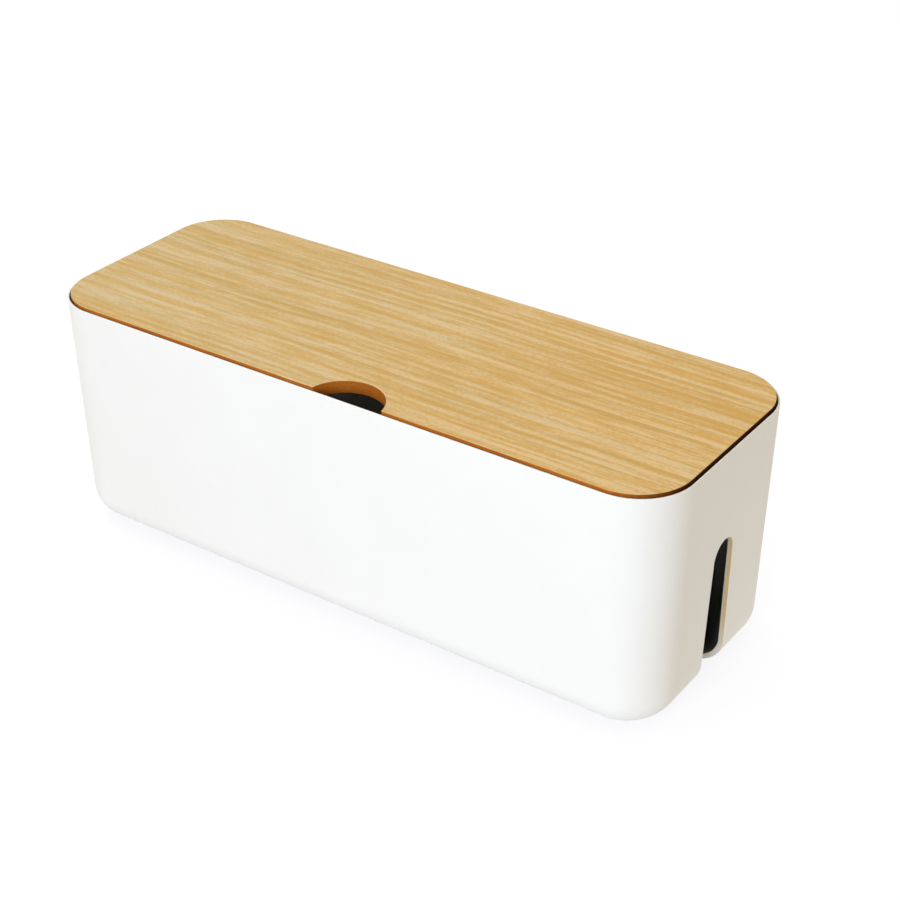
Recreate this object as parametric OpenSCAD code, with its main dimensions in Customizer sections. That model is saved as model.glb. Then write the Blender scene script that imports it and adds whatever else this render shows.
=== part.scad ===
// Cable management box: a moulded plastic tub that hides a power strip, with a cable slot in
// each end wall, and a faced board that lies in the rim as a lift-off lid.
//
// Millimetres. +X runs along the box, -Y is the front with the finger notch, +Z is up.
// The origin is the centre of the plane that the feet stand on.

/* [Tub] */
// Length over the end walls, at the rim
tub_l = 400; // [320:1:480]
// Width over the long walls, at the rim
tub_w = 146; // [120:1:180]
// Height from the underside of the floor to the rim
tub_h = 143; // [110:1:160]
// Plan radius of the corners, at the rim
corner_r = 32; // [26:1:45]
// Outside radius between the walls and the floor
bottom_r = 18; // [10:1:20]
// Thickness of the walls and of the floor
wall_t = 3.2; // [2.4:0.1:3.6]
// Draft of the walls in degrees, so that the moulding leaves its tool
draft = 1.5; // [0.5:0.1:2]

/* [Rim] */
// Width of the lip that stands round the lid
lip_t = 1.1; // [1.1:0.1:1.6]
// Depth of the lid's seat below the rim
seat_d = 5.5; // [4:0.1:6.5]
// Radius on the outer edge of the rim
rim_outer_r = 0.5; // [0.2:0.1:0.6]
// Radius on the inner edge of the rim
rim_inner_r = 0.3; // [0.2:0.1:0.4]

/* [Cable slots] */
// Width of each slot at its round end
slot_w = 20; // [12:0.5:26]
// Width of each slot at its foot, from the bottom radius down
slot_foot_w = 24; // [12:0.5:30]
// Top of the slot's round end, above the underside of the floor
slot_top = 89; // [50:1:110]
// How far the slot reaches in under the floor, from the end of the rim
slot_reach = 24; // [20:1:34]

/* [Lid] */
// Thickness of the whole lid
lid_t = 7.3; // [6:0.1:10]
// Thickness of the face on top
veneer_t = 0.5; // [0.3:0.1:0.8]
// Thickness of the balancing sheet underneath
backing_t = 0.5; // [0.3:0.1:0.8]
// Gap between the lid and the lip along the long sides
side_gap = 0.5; // [0.3:0.1:0.8]
// Gap between the lid and the lip at the ends
end_gap = 1; // [0.3:0.1:1.2]

/* [Finger notch] */
// Width of the notch along the front edge
notch_w = 44; // [30:1:60]
// Depth of the notch in from the front edge
notch_d = 19; // [12:0.5:22]
// Middle of the notch, from the middle of the box
notch_x = 15; // [-60:0.5:60]

/* [Feet] */
// Diameter of each foot
foot_d = 12; // [8:1:18]
// Thickness of each foot
foot_t = 2.1; // [1.8:0.1:3]
// Depth of the pocket that a foot is glued into
foot_sink = 0.6; // [0.4:0.1:0.8]
// Middle of each foot, in from the end of the rim
foot_inset_x = 40; // [38:1:60]
// Middle of each foot, in from the long side of the rim
foot_inset_y = 33; // [30:1:45]

/* [Hidden] */
$fn = 96;

// Overrun of a cutter past the face it cuts
over = 1;
// Radius of a slot's round end, and the height of that end's centre
slot_r = slot_w / 2;
slot_c = slot_top - slot_r;
// Radius of the half round that a slot ends in at its foot
slot_foot_r = slot_foot_w / 2;
// The feet lift the tub by what stands out of their pockets
stand = foot_t - foot_sink;
// Radius of the lower edge of a foot, and the slack round a foot in its pocket
foot_edge_r = 0.7;
pocket_slack = 0.2;

// Centres of the tub's corners in plan, and of the feet
corner_x = tub_l / 2 - corner_r;
corner_y = tub_w / 2 - corner_r;
foot_x = tub_l / 2 - foot_inset_x;
foot_y = tub_w / 2 - foot_inset_y;

// Plan of the lid, which lies inside the lip
lid_l = tub_l - 2 * (lip_t + end_gap);
lid_w = tub_w - 2 * (lip_t + side_gap);
lid_r = corner_r - lip_t - side_gap;
// The notch is an arc through its two ends on the front edge and its deepest point
notch_r = (notch_w * notch_w / 4 + notch_d * notch_d) / (2 * notch_d);

// The wall's section is drawn in a plane through a corner's centre: x is the distance from that
// centre, y the height above the underside of the floor. The outside of the wall is a line
// through [corner_r, tub_h] that leans out by the draft; `out` is square to it.
out = [cos(draft), -sin(draft)];
// Centre of the bottom radius, which touches both that line and the underside of the floor
bottom_c = [
    corner_r - (bottom_r + (tub_h - bottom_r) * sin(draft)) / cos(draft),
    bottom_r
];

// A point at height y on the wall's outside, moved in by depth t
function on_wall(t, y) = [corner_r - t / cos(draft) - (tub_h - y) * tan(draft), y];

// Centre of a radius r that touches the rim's top and, from inside the wall, the line at depth t
function outer_edge_c(t, r) = [on_wall(t, tub_h - r)[0] - r / cos(draft), tub_h - r];
function inner_edge_c(t, r) = [on_wall(t, tub_h - r)[0] + r / cos(draft), tub_h - r];

// The section turns about its own y axis, so nothing of it may lie on the other side
module right_of_axis() {
    intersection() {
        children();
        square([corner_r + over, tub_h]);
    }
}

// Everything inside the tub's outer skin, with the rounded outer edge of the rim
module outer_section() {
    edge = outer_edge_c(0, rim_outer_r);
    polygon([
        [0, 0],
        [bottom_c[0], 0],
        bottom_c + bottom_r * out,
        edge + rim_outer_r * out,
        [edge[0], tub_h],
        [0, tub_h]
    ]);
    right_of_axis() translate(bottom_c) circle(bottom_r);
    translate(edge) circle(rim_outer_r);
}

// The cavity: the same form, smaller by the wall all round and open at the top
module cavity_section() {
    r = bottom_r - wall_t;
    polygon([
        [-over, wall_t],
        [bottom_c[0], wall_t],
        bottom_c + r * out,
        on_wall(wall_t, tub_h + over),
        [-over, tub_h + over]
    ]);
    translate(bottom_c) circle(r);
}

// The rebate that leaves the lip standing, with the rounded inner edge of the rim
module seat_section() {
    edge = inner_edge_c(lip_t, rim_inner_r);
    difference() {
        polygon([
            [-over, tub_h - seat_d],
            on_wall(lip_t, tub_h - seat_d),
            edge - rim_inner_r * out,
            [edge[0], tub_h],
            [edge[0], tub_h + over],
            [-over, tub_h + over]
        ]);
        translate(edge) circle(rim_inner_r);
    }
}

module wall_section() {
    difference() {
        outer_section();
        cavity_section();
        seat_section();
    }
}

// Takes a section round the tub: four quarter turns and the straight runs between them
module round_the_tub() {
    for (mx = [0, 1], my = [0, 1])
        mirror([mx, 0, 0])
        mirror([0, my, 0])
        translate([corner_x, corner_y, 0])
        rotate_extrude(angle = 90)
        children();
    for (my = [0, 1])
        mirror([0, my, 0])
        translate([-corner_x, corner_y, 0])
        rotate([90, 0, 90])
        linear_extrude(2 * corner_x)
        children();
    for (mx = [0, 1])
        mirror([mx, 0, 0])
        translate([corner_x, corner_y, 0])
        rotate([90, 0, 0])
        linear_extrude(2 * corner_y)
        children();
}

// A cable slot at the +X end. Through the wall it is an arch whose sides lean apart down to the
// bottom radius and stand upright below it; in the floor it ends in a half round of that width.
module slot_cutter() {
    end_x = tub_l / 2 - slot_reach + slot_foot_r;
    run = tub_l / 2 - end_x + over;
    translate([end_x, 0, 0])
    rotate([90, 0, 90])
    linear_extrude(run) {
        translate([0, slot_c]) circle(slot_r);
        polygon([
            [-slot_r, slot_c],
            [-slot_foot_r, bottom_r],
            [-slot_foot_r, -over],
            [slot_foot_r, -over],
            [slot_foot_r, bottom_r],
            [slot_r, slot_c]
        ]);
    }
    translate([end_x, 0, -over]) cylinder(r = slot_foot_r, h = bottom_r / 2 + over);
}

module tub() {
    color("white")
    translate([0, 0, stand])
    difference() {
        union() {
            round_the_tub() wall_section();
            translate([-corner_x, -corner_y, 0]) cube([2 * corner_x, 2 * corner_y, wall_t]);
        }
        for (mx = [0, 1]) mirror([mx, 0, 0]) slot_cutter();
        for (sx = [-1, 1], sy = [-1, 1])
            translate([sx * foot_x, sy * foot_y, -over])
            cylinder(d = foot_d + 2 * pocket_slack, h = foot_sink + over);
    }
}

// A soft pad with a rounded lower edge; sx and sy pick its corner
module foot(sx, sy) {
    r = foot_d / 2;
    color("gainsboro")
    translate([sx * foot_x, sy * foot_y, 0])
    rotate_extrude() {
        polygon([
            [0, 0],
            [r - foot_edge_r, 0],
            [r, foot_edge_r],
            [r, foot_t],
            [0, foot_t]
        ]);
        translate([r - foot_edge_r, foot_edge_r]) circle(foot_edge_r);
    }
}

module foot_front_left() {
    foot(-1, -1);
}

module foot_front_right() {
    foot(1, -1);
}

module foot_rear_left() {
    foot(-1, 1);
}

module foot_rear_right() {
    foot(1, 1);
}

// Plan of the lid: a rounded rectangle that lies inside the lip, with the finger notch
module lid_plan() {
    difference() {
        union() {
            square([lid_l, lid_w - 2 * lid_r], center = true);
            square([lid_l - 2 * lid_r, lid_w], center = true);
            for (sx = [-1, 1], sy = [-1, 1])
                translate([sx * (lid_l / 2 - lid_r), sy * (lid_w / 2 - lid_r)]) circle(lid_r);
        }
        translate([notch_x, notch_d - lid_w / 2 - notch_r]) circle(notch_r);
    }
}

// One layer of the lid, from height z above the seat, t thick
module lid_layer(z, t) {
    translate([0, 0, stand + tub_h - seat_d + z]) linear_extrude(t) lid_plan();
}

module lid_backing() {
    color("tan") lid_layer(0, backing_t);
}

module lid_core() {
    color("peru") lid_layer(backing_t, lid_t - backing_t - veneer_t);
}

module lid_veneer() {
    color("burlywood") lid_layer(lid_t - veneer_t, veneer_t);
}

tub();
foot_front_left();
foot_front_right();
foot_rear_left();
foot_rear_right();
lid_core();
lid_veneer();
lid_backing();
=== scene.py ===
# %% [markdown]
# A cable management box comes apart by hand into two things: a moulded tub that hides a power
# strip, and a faced board that lies in the tub's rim as its lid. Four soft pads keep it off the
# desk. The solids are packed already, at their real size, so this script only gives them their
# looks: rounded edges, surfaces and light. It starts by loading them, and keeps their box, so
# that the finished pieces' box can be printed beside it at the end.

# %% Load the imported parts
import math

import bmesh
import bpy
from mathutils import Matrix, Vector


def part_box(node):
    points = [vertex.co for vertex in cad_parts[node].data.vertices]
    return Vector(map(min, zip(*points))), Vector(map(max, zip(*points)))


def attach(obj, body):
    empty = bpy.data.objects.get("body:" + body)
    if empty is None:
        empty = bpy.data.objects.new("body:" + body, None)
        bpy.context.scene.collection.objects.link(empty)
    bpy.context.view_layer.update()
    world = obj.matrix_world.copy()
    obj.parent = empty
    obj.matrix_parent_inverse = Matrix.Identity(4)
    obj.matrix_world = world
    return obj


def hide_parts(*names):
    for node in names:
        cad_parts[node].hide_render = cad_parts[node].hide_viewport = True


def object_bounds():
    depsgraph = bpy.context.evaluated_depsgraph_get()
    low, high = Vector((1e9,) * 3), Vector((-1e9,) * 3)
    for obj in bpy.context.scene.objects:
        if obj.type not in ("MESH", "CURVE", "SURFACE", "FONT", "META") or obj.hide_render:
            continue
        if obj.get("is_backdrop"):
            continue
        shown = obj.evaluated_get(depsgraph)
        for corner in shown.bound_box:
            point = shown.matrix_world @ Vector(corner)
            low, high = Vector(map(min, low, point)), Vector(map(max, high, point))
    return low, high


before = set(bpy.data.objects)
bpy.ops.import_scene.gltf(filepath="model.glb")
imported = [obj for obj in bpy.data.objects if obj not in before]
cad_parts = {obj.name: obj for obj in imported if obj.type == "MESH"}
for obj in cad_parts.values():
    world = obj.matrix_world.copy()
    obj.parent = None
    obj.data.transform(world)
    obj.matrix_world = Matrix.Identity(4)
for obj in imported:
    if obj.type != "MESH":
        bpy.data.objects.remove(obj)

cad_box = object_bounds()
mm = 0.001
print("nodes:", ", ".join(sorted(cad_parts)))

# %% [markdown]
# The camera comes before the pieces. It stands a little over a metre away, high and to the right
# of the front. It could be placed by hand and turned until the view looks right. Here it is a chain
# of turns about an aim point instead, so that every number has a meaning: which way round, how
# high, how far.

# %% The camera
image_side = 900
focal_length_px = 1880.0
sensor_width = 36
azimuth = math.radians(35.054)
elevation = math.radians(30.65)
roll = math.radians(-0.235)
aim = Vector((0.94, 40.52, 56.67)) * mm
distance = 1089.9 * mm

camera = bpy.data.objects.new("camera", bpy.data.cameras.new("camera"))
bpy.context.scene.collection.objects.link(camera)
camera.data.sensor_width = sensor_width
camera.data.lens = focal_length_px / image_side * sensor_width
camera.matrix_world = (
    Matrix.Translation(aim)
    @ Matrix.Rotation(azimuth, 4, "Z")
    @ Matrix.Rotation(math.pi / 2 - elevation, 4, "X")
    @ Matrix.Rotation(roll, 4, "Z")
    @ Matrix.Translation((0, 0, distance))
)
bpy.context.scene.camera = camera
print(f"lens {camera.data.lens:.1f} mm at", [round(c, 3) for c in camera.matrix_world.translation])

# %% [markdown]
# The tub is one injection moulding. Its wall has the same section all the way round: floor,
# bottom radius, a wall that leans out by the draft so that it leaves its tool, a thin lip, the
# seat that the lid lies on, and the same again on the inside. Heights and lengths come from the
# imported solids. What a box can't tell, such as radii and thicknesses, is named here.

# %% Sizes of the tub
tub_low, tub_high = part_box("tub")
seat_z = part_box("lid_backing")[0].z
corner_r = 32 * mm
bottom_r = 18 * mm
wall = 3.2 * mm
draft = math.radians(1.5)
lip = 1.1 * mm
rim_outer_r = 0.5 * mm
rim_inner_r = 0.3 * mm
seat_edge_r = 0.3 * mm
corner_x = tub_high.x - corner_r
corner_y = tub_high.y - corner_r


def on_wall(depth, z):
    """How far the skin that lies `depth` inside the wall's outer face is from a corner's axis."""
    return corner_r - depth / math.cos(draft) - (tub_high.z - z) * math.tan(draft)


print(f"rim {tub_high.z / mm:.1f} mm, seat {seat_z / mm:.1f} mm, floor {tub_low.z / mm:.1f} mm")

# %% [markdown]
# Both the tub's section and the lid's outline are chains of straight edges with rounded corners.
# The points of each arc could be worked out with sines and cosines, but bevel can round a single
# vertex: it only has to know how far back along the edges the arc starts, which is the radius
# times the tangent of half the turn. An arc of more than a half turn's worth, such as a notch,
# is easier to make by spinning one vertex about a centre.

# %% Chains of edges with rounded corners
arc_step = math.radians(4)


def rounded(bm, vert, radius):
    """Rounds one corner of a chain of edges."""
    one, two = (edge.other_vert(vert).co - vert.co for edge in vert.link_edges)
    turn = math.pi - one.angle(two)
    bmesh.ops.bevel(
        bm,
        geom=[vert],
        affect="VERTICES",
        offset_type="OFFSET",
        offset=radius * math.tan(turn / 2),
        segments=max(4, round(turn / arc_step)),
        profile=0.5,
        material=-1,
    )


def chain(bm, corners, closed=False):
    """Joins (place, radius) corners with edges, and rounds each corner that has a radius."""
    verts = [bm.verts.new(place) for place, radius in corners]
    ends = verts[1:] + verts[:1] if closed else verts[1:]
    for one, two in zip(verts, ends):
        bm.edges.new((one, two))
    for vert, (place, radius) in zip(verts, corners):
        if radius:
            rounded(bm, vert, radius)


def arc(bm, start, centre, axis, angle):
    """Spins a new vertex at `start` about a centre, and returns the arc's first and last vertex."""
    first = bm.verts.new(start)
    spun = bmesh.ops.spin(
        bm, geom=[first], cent=centre, axis=axis, angle=angle, steps=round(abs(angle) / arc_step)
    )
    return first, spun["geom_last"][0]


# %% [markdown]
# The tub could be a box with its edges bevelled and a thickness added, but then the lip, the seat
# and the two bottom radii would each be a separate fight. A turner would think of the section
# instead, and take it round: spin it a quarter turn about a corner's axis, pull both ends
# straight to the middle of the sides, and mirror that quarter twice. The two openings left in the
# middle are the floor's upper and lower faces.

# %% The tub's section, taken round
def made(name, bm):
    """Turns a finished bmesh into an object at the origin."""
    mesh = bpy.data.meshes.new(name)
    bm.to_mesh(mesh)
    bm.free()
    piece = bpy.data.objects.new(name, mesh)
    bpy.context.scene.collection.objects.link(piece)
    return piece


def report(name, bm):
    """Prints what a closed shape measures."""
    bm.normal_update()
    loose = sum(not edge.is_manifold for edge in bm.edges)
    print(f"{name}: {len(bm.faces)} faces, {bm.calc_volume() * 1e9:.0f} mm3, {loose} open edges")


# The section starts this far out from a corner's axis, on the flat part of the floor
flat_start = 5 * mm
inside_z = tub_low.z + wall
section = [
    (flat_start, tub_low.z, 0),
    (on_wall(0, tub_low.z), tub_low.z, bottom_r),
    (on_wall(0, tub_high.z), tub_high.z, rim_outer_r),
    (on_wall(lip, tub_high.z), tub_high.z, rim_inner_r),
    (on_wall(lip, seat_z), seat_z, 0),
    (on_wall(wall, seat_z), seat_z, seat_edge_r),
    (on_wall(wall, inside_z), inside_z, bottom_r - wall),
    (flat_start, inside_z, 0),
]

bm = bmesh.new()
chain(bm, [(Vector((corner_x + out, corner_y, z)), radius) for out, z, radius in section])
first_end = bm.edges[:]
spun = bmesh.ops.spin(
    bm,
    geom=bm.verts[:] + bm.edges[:],
    cent=(corner_x, corner_y, 0),
    axis=(0, 0, 1),
    angle=math.pi / 2,
    steps=24,
)
last_end = [item for item in spun["geom_last"] if isinstance(item, bmesh.types.BMEdge)]
for end, move in ((first_end, (0, -corner_y, 0)), (last_end, (-corner_x, 0, 0))):
    pulled = bmesh.ops.extrude_edge_only(bm, edges=end)["geom"]
    verts = [item for item in pulled if isinstance(item, bmesh.types.BMVert)]
    bmesh.ops.translate(bm, verts=verts, vec=move)
for axis in "XY":
    everything = bm.verts[:] + bm.edges[:] + bm.faces[:]
    bmesh.ops.mirror(bm, geom=everything, matrix=Matrix(), merge_dist=1e-6, axis=axis)
bmesh.ops.holes_fill(bm, edges=[edge for edge in bm.edges if edge.is_boundary], sides=0)
bmesh.ops.recalc_face_normals(bm, faces=bm.faces[:])
report("tub before its cuts", bm)
tub = made("tub_shell", bm)

# %% [markdown]
# In the tool, each cable slot is a blade that shuts off against the core: it makes an arch in the
# end wall that runs down through the bottom radius and ends in a half round in the floor. The
# feet sit in four shallow round pockets. Cutting these out by hand would mean re-joining the
# wall's faces round them, which is what a Boolean is for. The slot's new faces carry a second
# material number for a moment, so that the edges where they meet the skin can be found and
# rounded: a moulding has no knife edges.

# %% Cutters
def solid(bm, outline, push):
    """Fills a closed chain of edges and pulls it into a solid."""
    face = bmesh.ops.contextual_create(bm, geom=outline)["faces"][0]
    pulled = bmesh.ops.extrude_face_region(bm, geom=[face])["geom"]
    verts = [item for item in pulled if isinstance(item, bmesh.types.BMVert)]
    bmesh.ops.translate(bm, verts=verts, vec=push)
    bmesh.ops.recalc_face_normals(bm, faces=bm.faces[:])


def disc(bm, radius, centre, height, segments=48):
    """A short closed cylinder, standing on `centre`."""
    bmesh.ops.create_cone(
        bm,
        cap_ends=True,
        segments=segments,
        radius1=radius,
        radius2=radius,
        depth=height,
        matrix=Matrix.Translation(centre + Vector((0, 0, height / 2))),
    )


def cut_away(piece, cutter, mark=0):
    """Takes a shape out of a piece. The new faces get `mark` as their material number."""
    for face in cutter.faces:
        face.material_index = mark
    tool = made("cutter", cutter)
    for either in (piece, tool):
        while len(either.data.materials) < 2:
            either.data.materials.append(None)
    step = piece.modifiers.new("cut", "BOOLEAN")
    step.operation = "DIFFERENCE"
    step.solver = "EXACT"
    step.object = tool
    graph = bpy.context.evaluated_depsgraph_get()
    piece.data = bpy.data.meshes.new_from_object(piece.evaluated_get(graph))
    piece.modifiers.remove(step)
    bpy.data.objects.remove(tool)


slot_r = 10 * mm
slot_foot_r = 12 * mm
slot_spring = tub_low.z + 79 * mm
slot_kink = tub_low.z + bottom_r
slot_end_x = tub_high.x - 24 * mm + slot_foot_r
past = 1 * mm
foot_names = [name for name in sorted(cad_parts) if name.startswith("foot_")]
foot_boxes = {name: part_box(name) for name in foot_names}
pocket_slack = 0.2 * mm
pocket_depth = 0.6 * mm


def arch_cutter(side):
    """The blade through an end wall: an arch that starts below the floor. `side` is 1 or -1."""
    bm = bmesh.new()
    x = side * slot_end_x
    left, right = arc(bm, (x, -slot_r, slot_spring), (x, 0, slot_spring), (-1, 0, 0), math.pi)
    foot_z = tub_low.z - past
    corners = ((1, slot_kink), (1, foot_z), (-1, foot_z), (-1, slot_kink))
    ring = [right, *(bm.verts.new((x, way * slot_foot_r, z)) for way, z in corners), left]
    for one, two in zip(ring, ring[1:]):
        bm.edges.new((one, two))
    solid(bm, bm.edges[:], (side * (tub_high.x - slot_end_x + past), 0, 0))
    return bm


def floor_cutter(side):
    """The half round in which a slot ends in the floor."""
    bm = bmesh.new()
    centre = Vector((side * slot_end_x, 0, tub_low.z - past))
    disc(bm, slot_foot_r, centre, past + bottom_r / 2, segments=96)
    return bm


bm = bmesh.new()
for low, high in foot_boxes.values():
    centre = (low + high) / 2
    centre.z = tub_low.z - past
    disc(bm, (high.x - low.x) / 2 + pocket_slack, centre, pocket_depth + past)
cut_away(tub, bm)
for side in (1, -1):
    cut_away(tub, arch_cutter(side), mark=1)
    cut_away(tub, floor_cutter(side), mark=1)
print(f"tub after its cuts: {len(tub.data.polygons)} faces")

# %% Round the slots' edges
slot_edge_r = 0.35 * mm
sliver = 0.02 * mm
bm = bmesh.new()
bm.from_mesh(tub.data)
report("tub", bm)
bmesh.ops.remove_doubles(bm, verts=bm.verts[:], dist=sliver)
bmesh.ops.dissolve_degenerate(bm, edges=bm.edges[:], dist=sliver)
slot_edges = [
    edge for edge in bm.edges
    if sum(face.material_index for face in edge.link_faces) == 1
]
bmesh.ops.bevel(
    bm,
    geom=slot_edges,
    affect="EDGES",
    offset_type="OFFSET",
    offset=slot_edge_r,
    segments=3,
    profile=0.5,
    material=-1,
    clamp_overlap=False,
    loop_slide=True,
)
cut_mark = bm.faces.layers.float.new("cut face")
for face in bm.faces:
    face[cut_mark] = face.material_index
    face.material_index = 0
report("tub with rounded slots", bm)
bm.to_mesh(tub.data)
bm.free()

# %% [markdown]
# The lid is a sandwich: a board, an oak face on top and a plain sheet underneath that keeps it
# from bowing. All three have the same outline, a rounded rectangle with a half-moon notch for a
# finger, so one function makes them. The notch is one vertex spun about the arc's centre. The
# front corners of the notch and the lid's upper edge are broken a little, as sandpaper leaves
# them.

# %% The lid's outline
lid_low, lid_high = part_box("lid_veneer")
lid_r = corner_r - lip - 0.5 * mm
notch_x = 15 * mm
notch_half = 22 * mm
notch_depth = 19 * mm
notch_r = (notch_half**2 + notch_depth**2) / (2 * notch_depth)
notch_y = lid_low.y + notch_depth - notch_r
notch_corner_r = 0.7 * mm


def lid_outline(bm, z):
    """The lid's plan as one closed chain of edges."""
    half_sweep = math.pi / 2 + math.asin((notch_depth - notch_r) / notch_r)
    start = (notch_x - notch_half, lid_low.y, z)
    left, right = arc(bm, start, (notch_x, notch_y, z), (0, 0, -1), 2 * half_sweep)
    corners = [
        bm.verts.new((x, y, z))
        for x, y in (
            (lid_high.x, lid_low.y),
            (lid_high.x, lid_high.y),
            (lid_low.x, lid_high.y),
            (lid_low.x, lid_low.y),
        )
    ]
    ring = [right, *corners, left]
    for one, two in zip(ring, ring[1:]):
        bm.edges.new((one, two))
    for corner in corners:
        rounded(bm, corner, lid_r)
    for corner in (left, right):
        rounded(bm, corner, notch_corner_r)


def lid_layer(name, node, top_ease=0.0, bottom_ease=0.0):
    """One layer of the lid, with its upper or lower edge broken."""
    low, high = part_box(node)
    bm = bmesh.new()
    lid_outline(bm, low.z)
    solid(bm, bm.edges[:], (0, 0, high.z - low.z))
    for z, ease in ((high.z, top_ease), (low.z, bottom_ease)):
        if ease:
            rim = [e for e in bm.edges if all(abs(v.co.z - z) < 1e-6 for v in e.verts)]
            bmesh.ops.bevel(
                bm,
                geom=rim,
                affect="EDGES",
                offset=ease,
                segments=3,
                profile=0.5,
                material=-1,
                clamp_overlap=True,
            )
    report(name, bm)
    return made(name, bm)


lid_face = lid_layer("lid_face", "lid_veneer", top_ease=0.25 * mm)
lid_board = lid_layer("lid_board", "lid_core")
lid_back = lid_layer("lid_back", "lid_backing", bottom_ease=0.2 * mm)

# %% [markdown]
# The feet are die-cut foam rubber pads. Their section is a short chain: flat underneath, a soft
# lower edge, a straight side. Spun a full turn it closes on itself, so the spin merges its ends.

# %% The feet
foot_edge_r = 0.7 * mm


def foot(name, low, high):
    """A soft round pad in its pocket."""
    centre = (low + high) / 2
    radius = (high.x - low.x) / 2
    bm = bmesh.new()
    section = [
        ((0, low.z), 0),
        ((radius, low.z), foot_edge_r),
        ((radius, high.z), 0),
        ((0, high.z), 0),
    ]
    places = [(Vector((centre.x + out, centre.y, z)), r) for (out, z), r in section]
    chain(bm, places)
    bmesh.ops.spin(
        bm,
        geom=bm.verts[:] + bm.edges[:],
        cent=centre,
        axis=(0, 0, 1),
        angle=2 * math.pi,
        steps=48,
        use_merge=True,
    )
    bmesh.ops.remove_doubles(bm, verts=bm.verts[:], dist=1e-6)
    bmesh.ops.recalc_face_normals(bm, faces=bm.faces[:])
    report(name, bm)
    return made(name, bm)


feet = {name: foot(name.replace("foot_", "pad_"), *foot_boxes[name]) for name in foot_names}

# %% [markdown]
# Flat shading shows every facet, and smooth shading alone bends the light across large flat
# faces next to small rounded edges. Weighted normals give the large faces the say, so walls stay
# flat and only the rounded edges turn.

# %% Shading
crease = math.radians(40)
pieces = [tub, lid_face, lid_board, lid_back, *feet.values()]
for piece in pieces:
    piece.data.shade_smooth()
    piece.data.set_sharp_from_angle(angle=crease)
    even = piece.modifiers.new("even shading", "WEIGHTED_NORMAL")
    even.keep_sharp = True
print(f"shaded {len(pieces)} pieces")

# %% [markdown]
# Every finish here is built from a few small patterns that are wanted more than once. Two of them
# are node groups. The first is noise that is drawn out along the box: cells per metre along and
# across are its inputs, and wood grain and fibres come from it. The second is the skin of a
# moulding: a fine even texture from the tool, and slow mottling from the way that hands and dust
# dull a surface.

# %% Helpers for nodes
def add(tree, kind, inputs=None, **settings):
    """Adds a node. `inputs` holds its sockets by name or number: a socket is linked, else set."""
    new = tree.nodes.new(kind)
    for name, value in settings.items():
        setattr(new, name, value)
    for key, value in (inputs or {}).items():
        if isinstance(value, bpy.types.NodeSocket):
            tree.links.new(value, new.inputs[key])
        else:
            new.inputs[key].default_value = value
    return new


def calc(tree, operation, one, two=0.0, three=0.0):
    """A Math node's result."""
    return add(tree, "ShaderNodeMath", {0: one, 1: two, 2: three}, operation=operation).outputs[0]


def spread(tree, value, low, high, to_low=0.0, to_high=1.0):
    """A value from low to high, stretched to another range and held inside it."""
    inputs = {"Value": value, "From Min": low, "From Max": high}
    inputs.update({"To Min": to_low, "To Max": to_high})
    return add(tree, "ShaderNodeMapRange", inputs, clamp=True).outputs["Result"]


def blend_colours(tree, factor, one, two):
    """A mix of two colours."""
    inputs = {0: factor, 6: one, 7: two}
    return add(tree, "ShaderNodeMix", inputs, data_type="RGBA").outputs[2]


def multiplied(tree, one, two):
    """The product of two colours."""
    inputs = {0: 1.0, 6: one, 7: two}
    return add(tree, "ShaderNodeMix", inputs, data_type="RGBA", blend_type="MULTIPLY").outputs[2]


def new_group(name, inputs, outputs):
    """An empty node group, with its group input and output nodes."""
    group = bpy.data.node_groups.new(name, "ShaderNodeTree")
    for socket, kind, value in inputs:
        made_socket = group.interface.new_socket(socket, in_out="INPUT", socket_type=kind)
        if value is not None:
            made_socket.default_value = value
    for socket, kind in outputs:
        group.interface.new_socket(socket, in_out="OUTPUT", socket_type=kind)
    return group, group.nodes.new("NodeGroupInput"), group.nodes.new("NodeGroupOutput")


def use(tree, group, **inputs):
    """Places a node group in a tree."""
    named = {key.replace("_", " ").capitalize(): value for key, value in inputs.items()}
    return add(tree, "ShaderNodeGroup", named, node_tree=group).outputs


# %% Group: noise drawn out along the box
drawn_noise, start, end = new_group(
    "drawn noise",
    [
        ("Point", "NodeSocketVector", None),
        ("Along", "NodeSocketFloat", 10.0),
        ("Across", "NodeSocketFloat", 300.0),
        ("Detail", "NodeSocketFloat", 2.0),
        ("Shift", "NodeSocketFloat", 0.0),
    ],
    [("Value", "NodeSocketFloat")],
)
stretch = add(
    drawn_noise,
    "ShaderNodeCombineXYZ",
    {0: start.outputs["Along"], 1: start.outputs["Across"], 2: start.outputs["Across"]},
)
shift = add(drawn_noise, "ShaderNodeCombineXYZ", {0: start.outputs["Shift"]})
place = {
    "Vector": start.outputs["Point"],
    "Location": shift.outputs[0],
    "Scale": stretch.outputs[0],
}
placed = add(drawn_noise, "ShaderNodeMapping", place)
noise = add(
    drawn_noise,
    "ShaderNodeTexNoise",
    {"Vector": placed.outputs[0], "Scale": 1.0, "Detail": start.outputs["Detail"]},
)
drawn_noise.links.new(noise.outputs[0], end.inputs["Value"])

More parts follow.
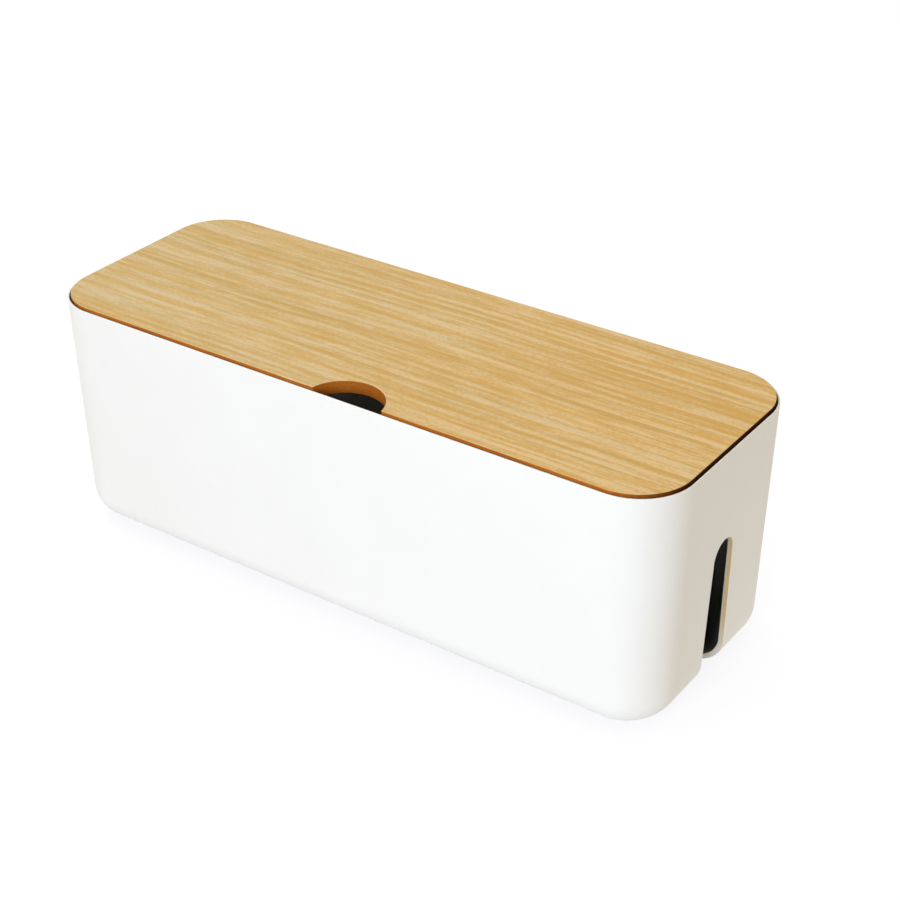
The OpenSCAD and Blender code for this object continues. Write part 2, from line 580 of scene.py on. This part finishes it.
# %% Group: the skin of a moulding
moulded_skin, start, end = new_group(
    "moulded skin",
    [
        ("Point", "NodeSocketVector", None),
        ("Texture size", "NodeSocketFloat", 2200.0),
        ("Mottle size", "NodeSocketFloat", 22.0),
    ],
    [("Height", "NodeSocketFloat"), ("Mottle", "NodeSocketFloat")],
)
point = start.outputs["Point"]
spark = add(
    moulded_skin,
    "ShaderNodeTexNoise",
    {"Vector": point, "Scale": start.outputs["Texture size"], "Detail": 1.5},
)
flow = add(moulded_skin, "ShaderNodeTexNoise", {"Vector": point, "Scale": 14.0, "Detail": 1.0})
cloud = add(
    moulded_skin,
    "ShaderNodeTexNoise",
    {"Vector": point, "Scale": start.outputs["Mottle size"], "Detail": 4.0, "Roughness": 0.6},
)
height = calc(moulded_skin, "MULTIPLY_ADD", flow.outputs[0], 3.0, spark.outputs[0])
moulded_skin.links.new(height, end.inputs["Height"])
moulded_skin.links.new(spread(moulded_skin, cloud.outputs[0], 0.3, 0.7), end.inputs["Mottle"])
print("groups:", ", ".join(group.name for group in bpy.data.node_groups))

# %% [markdown]
# The tub is white plastic with a satin skin. A perfectly even white looks like paper, so the
# mottling moves its colour by about a hundredth and its roughness by a few hundredths, and the
# tool's texture breaks up the highlights. Where the slots' blades shut off, the wall shows its
# thickness, and there painted shade colours the plastic tan. It is darkest next to the outer skin,
# where the rounded edge is shaded, paler towards the inside and fainter towards the floor, so the
# tan follows the depth in the wall. The feet use the same group with a coarser texture.

# %% Helpers for materials
def coordinates(tree):
    """The outputs of a Texture Coordinate node."""
    return tree.nodes.new("ShaderNodeTexCoord").outputs


def new_material(name, viewport):
    """A material with an empty tree, its Principled shader and the Object coordinates."""
    material = bpy.data.materials.new(name)
    material.diffuse_color = (*viewport, 1)
    material.use_nodes = True
    tree = material.node_tree
    tree.nodes.clear()
    shader = tree.nodes.new("ShaderNodeBsdfPrincipled")
    output = tree.nodes.new("ShaderNodeOutputMaterial")
    tree.links.new(shader.outputs[0], output.inputs[0])
    return material, tree, shader, coordinates(tree)["Object"]


def bump(tree, shader, height, distance):
    """Feeds a height to the shader's normal. `distance` is the height of a full step, in metres."""
    made_bump = add(tree, "ShaderNodeBump", {"Height": height, "Distance": distance})
    tree.links.new(made_bump.outputs[0], shader.inputs["Normal"])


# %% Plastic and rubber
# Painted shade on the slots' faces: tan, darkest next to the outer skin, paler inward, fainter
# towards the floor.
slot_shade_dark = (0.86, 0.62, 0.29, 1)
slot_shade_pale = (0.98, 0.85, 0.63, 1)
slot_shade_depths = (1.2 * mm, 2.8 * mm)
slot_shade_heights = (2 * mm, 35 * mm)
slot_shade_strengths = (0.3, 1.0)


def painted_slot_shade(tree, point, colour):
    """Paints shade on the faces that the slots' blades leave: tan, by their depth in the wall and
    their height.
    """
    axes = add(tree, "ShaderNodeSeparateXYZ", {0: point}).outputs
    lean = math.tan(draft)
    skin_x = calc(tree, "MULTIPLY_ADD", axes["Z"], lean, tub_high.x - tub_high.z * lean)
    depth = calc(tree, "SUBTRACT", skin_x, calc(tree, "ABSOLUTE", axes["X"]))
    slot_shade_colour = blend_colours(tree, spread(tree, depth, *slot_shade_depths), slot_shade_dark, slot_shade_pale)
    slot_shade_share = add(tree, "ShaderNodeAttribute", attribute_name="cut face").outputs["Fac"]
    slot_shade_share = calc(tree, "MULTIPLY", slot_shade_share, spread(tree, axes["Z"], *slot_shade_heights, *slot_shade_strengths))
    return blend_colours(tree, slot_shade_share, colour, slot_shade_colour)


def moulded(name, pale, dull, roughness, texture_size, texture_height, has_slots=False):
    """A moulded material that varies a little between two colours."""
    material, tree, shader, point = new_material(name, pale)
    skin = use(tree, moulded_skin, point=point, texture_size=texture_size)
    colour = blend_colours(tree, skin["Mottle"], (*dull, 1), (*pale, 1))
    # Painted shade on the faces that the slots' blades leave.
    if has_slots:
        colour = painted_slot_shade(tree, point, colour)
    tree.links.new(colour, shader.inputs["Base Color"])
    rough = spread(tree, skin["Mottle"], 0, 1, roughness - 0.05, roughness + 0.05)
    tree.links.new(rough, shader.inputs["Roughness"])
    bump(tree, shader, skin["Height"], texture_height)
    return material


white_plastic = moulded(
    "white satin plastic",
    pale=(0.90, 0.89, 0.87),
    dull=(0.88, 0.87, 0.845),
    roughness=0.42,
    texture_size=2200,
    texture_height=0.012 * mm,
    has_slots=True,
)
pad_rubber = moulded(
    "grey foam rubber",
    pale=(0.55, 0.55, 0.53),
    dull=(0.46, 0.46, 0.45),
    roughness=0.85,
    texture_size=1400,
    texture_height=0.06 * mm,
)

# %% [markdown]
# The board under the face shows only on its cut edge, as a warm brown line round the lid and in
# the notch. It is pressed fibre, stained and sealed after cutting, so the stain also covers the
# edges of the two thin sheets. Short fibres lie in thin layers. Near the lid's two ends, the edge
# is painted nearly black where it faces along the box. This is painted shade, standing in for the
# shade that lies on the lid's ends and in the gap beside the tub's lip. Three materials need this
# edge, so it is worked out in one place.

# %% The stained edge, with painted shade at the lid's ends
# Painted shade: near the lid's two ends, the cut edge is nearly black where it faces along the box.
stain_pale = (0.50, 0.153, 0.016, 1)
stain_deep = (0.34, 0.087, 0.008, 1)
end_shade_painted = (0.026, 0.003, 0.001, 1)
end_shade_share = 0.93
end_shade_from = lid_high.x - lid_r
end_shade_to = lid_high.x - 0.6 * lid_r


def pressed_fibre(tree, point, deep, pale):
    """Colour and height of pressed fibre that lies in thin layers."""
    layers = use(tree, drawn_noise, point=point, along=55.0, across=1500.0, detail=3.0)["Value"]
    patches = use(tree, drawn_noise, point=point, along=30.0, across=60.0, detail=3.0)["Value"]
    mixed = calc(tree, "MULTIPLY_ADD", patches, 0.7, layers)
    return blend_colours(tree, spread(tree, mixed, 0.6, 1.1), deep, pale), layers


def facing(tree, axis):
    """How squarely a face looks along an axis, one way or the other."""
    normal = add(tree, "ShaderNodeSeparateXYZ", {0: coordinates(tree)["Normal"]}).outputs
    return calc(tree, "ABSOLUTE", normal[axis])


def stain_and_end_shade(tree, point):
    """Colour and height of the lid's cut edge: its stain, and painted shade that turns it nearly
    black at the lid's two ends.
    """
    brown, layers = pressed_fibre(tree, point, stain_deep, stain_pale)
    # Painted shade: nearly black where the edge faces along the box, close to the lid's ends.
    end_shade_facing = calc(tree, "POWER", facing(tree, "X"), 2.0)
    place = add(tree, "ShaderNodeSeparateXYZ", {0: point}).outputs["X"]
    ends = spread(tree, calc(tree, "ABSOLUTE", place), end_shade_from, end_shade_to)
    end_shade = calc(tree, "MULTIPLY", calc(tree, "MULTIPLY", end_shade_facing, ends), end_shade_share)
    return blend_colours(tree, end_shade, brown, end_shade_painted), layers


def edge_or(tree, face, point):
    """A sheet's own colour on its flat faces, and on its cut edge the stain with its painted end
    shade.
    """
    cut = spread(tree, facing(tree, "Z"), 0.30, 0.60, 1.0, 0.0)
    return blend_colours(tree, cut, face, stain_and_end_shade(tree, point)[0])


# %% Board and backing
def cut_board(name):
    """The board itself, of which only the cut edge can be seen."""
    material, tree, shader, point = new_material(name, (0.38, 0.13, 0.02))
    colour, layers = stain_and_end_shade(tree, point)
    tree.links.new(colour, shader.inputs["Base Color"])
    tree.links.new(spread(tree, layers, 0.3, 0.7, 0.70, 0.85), shader.inputs["Roughness"])
    shader.inputs["Specular IOR Level"].default_value = 0.08
    bump(tree, shader, layers, 0.03 * mm)
    return material


def backing(name):
    """The plain sheet underneath: pressed fibre in a paler brown."""
    material, tree, shader, point = new_material(name, (0.50, 0.34, 0.17))
    sheet, layers = pressed_fibre(tree, point, (0.44, 0.29, 0.14, 1), (0.52, 0.36, 0.19, 1))
    tree.links.new(edge_or(tree, sheet, point), shader.inputs["Base Color"])
    tree.links.new(spread(tree, layers, 0.3, 0.7, 0.60, 0.75), shader.inputs["Roughness"])
    shader.inputs["Specular IOR Level"].default_value = 0.3
    bump(tree, shader, layers, 0.03 * mm)
    return material


board_edge = cut_board("stained board edge with painted end shade")
back_sheet = backing("plain backing sheet")
print("lid materials:", board_edge.name, "and", back_sheet.name)

# %% [markdown]
# The lid's face is rift-cut oak: the grain runs straight along the box, because the veneer is
# sliced nearly square to the growth rings. An image would be easier, but it would repeat. Instead
# the grain is drawn on a place of its own: the lid's coordinates with a slow wander added across
# the grain, so that no line looks ruled. On that place growth rings five and a half millimetres
# apart rise slowly from pale to tan and stop short, clearly at the right end and hardly at the
# left. Streaks break them, short flecks and specks break those, and a few pale rays run on.

# %% Oak: lines along the grain
wander_width = 9 * mm
grain_slant = 0.006
ring_pitch = 5.5 * mm
ring_bend = 3.0


def lines(tree, grain, along, across, detail=1.0, shift=0.0):
    """Noise drawn out along the grain."""
    numbers = {"along": along, "across": across, "detail": detail, "shift": shift}
    return use(tree, drawn_noise, point=grain, **numbers)["Value"]


def grain_place(tree, point):
    """The place on the grain, with its two axes."""
    axes = add(tree, "ShaderNodeSeparateXYZ", {0: point}).outputs
    wander = lines(tree, point, 5.0, 11.0)
    drift = calc(tree, "MULTIPLY_ADD", wander, wander_width, axes["Y"])
    across = calc(tree, "MULTIPLY_ADD", axes["X"], grain_slant, drift)
    grain = add(tree, "ShaderNodeCombineXYZ", {0: axes["X"], 1: across, 2: axes["Z"]}).outputs[0]
    return grain, axes["X"], across


def growth_rings(tree, grain, x, across):
    """Saw teeth from 0.5 down to -0.5, flatter where the rings are hardly clear."""
    bent = calc(tree, "MULTIPLY", lines(tree, grain, 1.5, 24.0, shift=7.0), ring_bend)
    ring = calc(tree, "FRACT", calc(tree, "MULTIPLY_ADD", across, 1 / ring_pitch, bent))
    clear = calc(tree, "MULTIPLY_ADD", x, 0.4, lines(tree, grain, 3.0, 20.0, shift=3.0))
    clear = spread(tree, clear, 0.35, 0.65)
    return calc(tree, "MULTIPLY", calc(tree, "SUBTRACT", ring, 0.5), clear)


# %% [markdown]
# One number now says how pale the wood is at each place, and a ramp turns it into a colour. Dark
# wood is more saturated than pale wood, not just darker, so the ramp goes from orange to cream.
# The tone varies more towards the right end, and the wood there is a little warmer. Long streaks
# that lean to grey or to orange come on top, which a ramp by itself can't do. Fine dark pores are
# mixed in as well, and they also dent the surface.

# %% Oak: tone and colour
tone_middle = 0.50
ring_weight = -0.85
ray_weight = 0.45
contrast_ends = (0.78, 1.16)
tan_wood = (0.652, 0.411, 0.129, 1)
middle_wood = (0.706, 0.484, 0.210, 1)
pale_wood = (0.762, 0.586, 0.355, 1)
pore_colour = (0.40, 0.22, 0.06, 1)
pore_share = 0.25
warmth_ends = (0.975, 0.995, 0.98, 1), (1.035, 0.975, 0.835, 1)
hue_ends = (0.955, 0.985, 1.03, 1), (1.045, 1.015, 0.97, 1)


def grain_colour(tree, tone):
    """The ramp from tan to pale wood."""
    ramp = add(tree, "ShaderNodeValToRGB", {0: tone})
    stops = ramp.color_ramp.elements
    stops[0].color = tan_wood
    stops[1].color = pale_wood
    stops.new(0.5).color = middle_wood
    return ramp.outputs[0]


def oak(name):
    """The oak face, with the stain on its cut edge."""
    material, tree, shader, point = new_material(name, (0.68, 0.47, 0.20))
    grain, x, across = grain_place(tree, point)
    broad = lines(tree, grain, 2.5, 42.0)
    streak = lines(tree, grain, 5.0, 230.0)
    fleck = lines(tree, grain, 40.0, 330.0)
    speck = lines(tree, grain, 420.0, 750.0)
    parts = ((broad, 0.5), (streak, 1.9), (fleck, 1.6), (speck, 1.1))
    tone = tone_middle - sum(weight for _, weight in parts) / 2
    tone = calc(tree, "MULTIPLY_ADD", growth_rings(tree, grain, x, across), ring_weight, tone)
    for part, weight in parts:
        tone = calc(tree, "MULTIPLY_ADD", part, weight, tone)
    ray = spread(tree, lines(tree, grain, 3.0, 105.0, shift=11.0), 0.64, 0.76)
    tone = calc(tree, "MULTIPLY_ADD", ray, ray_weight, tone)
    contrast = spread(tree, x, lid_low.x, lid_high.x, *contrast_ends)
    tone = calc(tree, "MULTIPLY_ADD", calc(tree, "SUBTRACT", tone, 0.5), contrast, 0.5)

    pore = spread(tree, lines(tree, grain, 170.0, 3600.0), 0.60, 0.72)
    share = calc(tree, "MULTIPLY", pore, pore_share)
    face = blend_colours(tree, share, grain_colour(tree, tone), pore_colour)
    warmth = blend_colours(tree, spread(tree, x, lid_low.x, lid_high.x), *warmth_ends)
    hue = lines(tree, grain, 6.0, 160.0, detail=2.0, shift=19.0)
    hue = blend_colours(tree, spread(tree, hue, 0.30, 0.70), *hue_ends)
    face = multiplied(tree, face, multiplied(tree, warmth, hue))
    tree.links.new(edge_or(tree, face, point), shader.inputs["Base Color"])
    tree.links.new(spread(tree, streak, 0.3, 0.7, 0.56, 0.46), shader.inputs["Roughness"])
    shader.inputs["Specular IOR Level"].default_value = 0.3
    bump(tree, shader, calc(tree, "MULTIPLY_ADD", pore, -1.2, fleck), 0.02 * mm)
    return material


oak_face = oak("oak face")
print(oak_face.name, "has", len(oak_face.node_tree.nodes), "nodes")

# %% [markdown]
# Each piece now takes its material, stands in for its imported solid, and rides on the body that
# carries it: the tub and its feet on the box, the three layers on the lid, which lifts off.

# %% Dress the pieces
def dress(piece, node, body, material):
    """Gives a piece its material, hides the solid that it stands for, puts it on its body, and
    names both.
    """
    piece.data.materials.clear()
    piece.data.materials.append(material)
    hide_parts(node)
    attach(piece, body)
    print(f"{piece.name} stands for {node} on {body}")


dress(tub, "tub", "box", white_plastic)
for name, piece in feet.items():
    dress(piece, name, "box", pad_rubber)
dress(lid_board, "lid_core", "lid", board_edge)
dress(lid_face, "lid_veneer", "lid", oak_face)
dress(lid_back, "lid_backing", "lid", back_sheet)

# %% [markdown]
# The floor is plain and pale. It has three jobs, and Light Path tells them apart. What the camera
# sees is white, with enough of a plain diffuse surface mixed in to keep a trace of the box's
# shadow. Light that bounces towards the box comes off it as in a studio with a lit sweep: evenly,
# but for a white card that lies behind the right end and lifts the end wall, a large cooler sheet
# behind and to the left, which keeps the back of the box from looking yellow, and a little more
# close to the box, where the bottom radius looks for its light. It counts for the first bounce
# only, so that the inside of a closed box is as dark as it should be. From below the floor is
# clear, so that the underside can be looked at.

# %% Floor: which rays see what
def kinds_of_ray(tree):
    """Whether a ray looks at the surroundings, and whether it lights a piece at first hand."""
    path = tree.nodes.new("ShaderNodeLightPath").outputs
    looks = calc(tree, "MAXIMUM", path["Is Camera Ray"], path["Is Glossy Ray"])
    looks = calc(tree, "MAXIMUM", looks, path["Is Transmission Ray"])
    unscattered = calc(tree, "LESS_THAN", path["Diffuse Depth"], 0.5)
    first_hand = calc(tree, "LESS_THAN", path["Diffuse Depth"], 1.5)
    return calc(tree, "MULTIPLY", looks, unscattered), first_hand


floor_half = 4.0
bm = bmesh.new()
bmesh.ops.create_grid(bm, x_segments=1, y_segments=1, size=floor_half)
floor = made("floor", bm)
floor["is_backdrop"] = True
print(f"floor: {2 * floor_half:.0f} m square")

# %% Floor: how bright its bounce is
card_centre = (0.30, 0.10, 0)
card_reach = (0.06, 0.24)
card_levels = (0.76, 0.51)
near_reach = 40 * mm
near_level = 0.12
sheet_reach = (1.0, 0.5)
sheet_level = 0.40
sheet_edge = 30 * mm
box_edge = 10 * mm


def outside_the_box(tree, axes):
    """How far a place on the floor is from the box's outline. It is negative under the box."""
    gaps = [
        calc(tree, "SUBTRACT", calc(tree, "ABSOLUTE", axes[axis]), half)
        for axis, half in (("X", tub_high.x), ("Y", tub_high.y))
    ]
    return calc(tree, "MAXIMUM", *gaps)


def blue_sheet(tree, place, axes, gap):
    """1 on the cooler sheet behind and to the left of the box, else 0."""
    behind = spread(tree, axes["Y"], tub_low.y, tub_low.y + sheet_edge)
    leftward = spread(tree, axes["X"], tub_high.x, tub_high.x - sheet_edge)
    away = add(tree, "ShaderNodeVectorMath", {0: place}, operation="LENGTH").outputs["Value"]
    sheet = calc(tree, "MULTIPLY", behind, leftward)
    sheet = calc(tree, "MULTIPLY", sheet, spread(tree, away, *sheet_reach))
    return calc(tree, "MULTIPLY", sheet, spread(tree, gap, -box_edge, box_edge))


def bounce_light(tree, first_hand):
    """The light that comes off the floor towards the box."""
    place = coordinates(tree)["Object"]
    axes = add(tree, "ShaderNodeSeparateXYZ", {0: place}).outputs
    card = add(tree, "ShaderNodeVectorMath", {0: place, 1: card_centre}, operation="DISTANCE")
    gap = outside_the_box(tree, axes)
    sheet = blue_sheet(tree, place, axes, gap)
    level = spread(tree, card.outputs["Value"], *card_reach, *card_levels)
    level = calc(tree, "ADD", level, spread(tree, gap, 0.0, near_reach, near_level, 0.0))
    level = calc(tree, "MULTIPLY_ADD", sheet, sheet_level, level)
    level = calc(tree, "MULTIPLY", first_hand, level)
    colour = blend_colours(tree, sheet, (1, 0.96, 0.95, 1), (0.88, 0.96, 1.10, 1))
    return add(tree, "ShaderNodeEmission", {"Color": colour, "Strength": level}).outputs[0]


# %% Floor: its material
seen_white = (1, 1, 1.03, 1)
seen_strength = 1.14
shadow_share = 0.25
material = bpy.data.materials.new("pale floor")
material.use_nodes = True
tree = material.node_tree
tree.nodes.clear()
looks, first_hand = kinds_of_ray(tree)
bounce = bounce_light(tree, first_hand)
white = add(tree, "ShaderNodeEmission", {"Color": seen_white, "Strength": seen_strength}).outputs[0]
plain = add(tree, "ShaderNodeBsdfDiffuse", {"Color": (0.95, 0.95, 0.95, 1)}).outputs[0]
shown = add(tree, "ShaderNodeMixShader", {0: shadow_share, 1: white, 2: plain}).outputs[0]
either = add(tree, "ShaderNodeMixShader", {0: looks, 1: bounce, 2: shown}).outputs[0]
below = tree.nodes.new("ShaderNodeNewGeometry").outputs["Backfacing"]
clear = tree.nodes.new("ShaderNodeBsdfTransparent").outputs[0]
sides = add(tree, "ShaderNodeMixShader", {0: below, 1: either, 2: clear}).outputs[0]
add(tree, "ShaderNodeOutputMaterial", {0: sides})
floor.data.materials.append(material)
print(material.name, "has", len(tree.nodes), "nodes")

# %% [markdown]
# The light is a plain soft studio: a soft box in front, a little to the right and not much higher
# than the box, so that the front wall is brighter at its right and towards the rim; a second one
# high on the left, for the lid; and a warm dim room round them, which with the floor is most of
# what the end wall gets. The levels are set so that a white surface facing the front lamp is just
# short of clipping. A closed box is nearly black inside. So that its slots and its notch can show
# that, the room is dark in one narrow upright band off the front right corner, as it is where
# somebody stands in dark clothes.

# %% Light
def soft_box(name, place, side, strength):
    """A square area lamp that faces the box. `strength` is its power in red, green and blue."""
    lamp = bpy.data.objects.new(name, bpy.data.lights.new(name, "AREA"))
    bpy.context.scene.collection.objects.link(lamp)
    lamp.location = place
    lamp.rotation_mode = "QUATERNION"
    lamp.rotation_quaternion = (Vector(place) - Vector((0, 0, 0.08))).to_track_quat("Z", "Y")
    lamp.data.shape = "SQUARE"
    lamp.data.size = side
    lamp.data.energy = max(strength)
    lamp.data.color = [channel / max(strength) for channel in strength]
    lamp.data.cycles.max_bounces = 0
    lamp.visible_camera = False
    print(f"{name} at {place}, {max(strength):.1f} W")


soft_box("front soft box", (0.35, -1.6, 0.6), 0.8, (16.3, 18.7, 22.2))
soft_box("upper soft box", (-0.8, 0.1, 1.4), 0.8, (3.5, 4.8, 7.0))

# %% The room
band_azimuth = math.radians(35)
band_half_angles = (math.radians(12), math.radians(17))
room_colour = (1.0, 0.85, 0.54, 1)
room_level = 0.70


def part_along(tree, direction, way):
    """How far a direction goes along a fixed way."""
    inputs = {0: direction, 1: way}
    return add(tree, "ShaderNodeVectorMath", inputs, operation="DOT_PRODUCT").outputs["Value"]


def beside_the_band(tree, direction):
    """0 for directions towards the dark band of the room, else 1."""
    ahead = part_along(tree, direction, (math.sin(band_azimuth), -math.cos(band_azimuth), 0))
    aside = part_along(tree, direction, (math.cos(band_azimuth), math.sin(band_azimuth), 0))
    angle = calc(tree, "ARCTAN2", calc(tree, "ABSOLUTE", aside), ahead)
    return spread(tree, angle, *band_half_angles)


world = bpy.data.worlds.new("studio")
bpy.context.scene.world = world
world.use_nodes = True
tree = world.node_tree
tree.nodes.clear()
looks, first_hand = kinds_of_ray(tree)
level = calc(tree, "MULTIPLY", first_hand, room_level)
level = calc(tree, "MULTIPLY", level, beside_the_band(tree, coordinates(tree)["Generated"]))
ambient = add(tree, "ShaderNodeBackground", {"Color": room_colour, "Strength": level})
white = add(tree, "ShaderNodeBackground", {"Color": (1, 1, 1, 1), "Strength": 1.0})
sky = add(tree, "ShaderNodeMixShader", {0: looks, 1: ambient.outputs[0], 2: white.outputs[0]})
add(tree, "ShaderNodeOutputWorld", {0: sky.outputs[0]})
bpy.context.scene.view_settings.view_transform = "Standard"
print(f"{world.name}: the room gives {room_level:.2f} of a plain white one")

# %% [markdown]
# The box of the finished pieces is printed beside that of the imported solids. The
# finished pieces must not be larger than the imported solids.

# %% Measure and finish
visual_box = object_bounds()
boxes = {"cad": [list(c) for c in cad_box], "visual": [list(c) for c in visual_box]}
print("CAD box and visual box (mm):")
for name, (low, high) in boxes.items():
    print(f"  {name}: {[round(h - l, 5) / mm for l, h in zip(low, high)]}")
